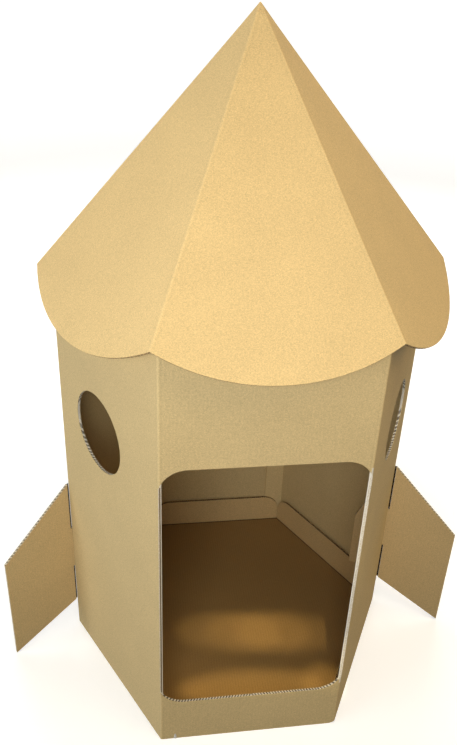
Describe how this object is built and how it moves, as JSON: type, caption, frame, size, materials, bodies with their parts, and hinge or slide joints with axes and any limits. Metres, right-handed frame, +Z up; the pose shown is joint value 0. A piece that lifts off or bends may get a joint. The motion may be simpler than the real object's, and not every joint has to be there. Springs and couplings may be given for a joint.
{
  "type": "cardboard rocket playhouse",
  "caption": "Hexagonal play rocket of corrugated board with a pointed scalloped roof, an open doorway, round windows, a floor tray and side fins hooked into its folds.",
  "frame": {"origin": "on the floor, under the middle of the hexagon", "axes": "+Z up along the rocket, -Y out of the doorway, +X to the right as seen from the door side"},
  "size_m": [1.101, 0.8215, 1.506],
  "materials": {
    "wall_board": "matte kraft liner",
    "roof_board": "matte kraft liner",
    "tray_board": "matte kraft liner",
    "fin_board": "matte kraft liner"
  },
  "bodies": {
    "root": {"wall_sleeve": "wall_board", "roof": "roof_board", "floor_tray": "tray_board", "left_fin": "fin_board", "right_fin": "fin_board"}
  },
  "joints": []
}
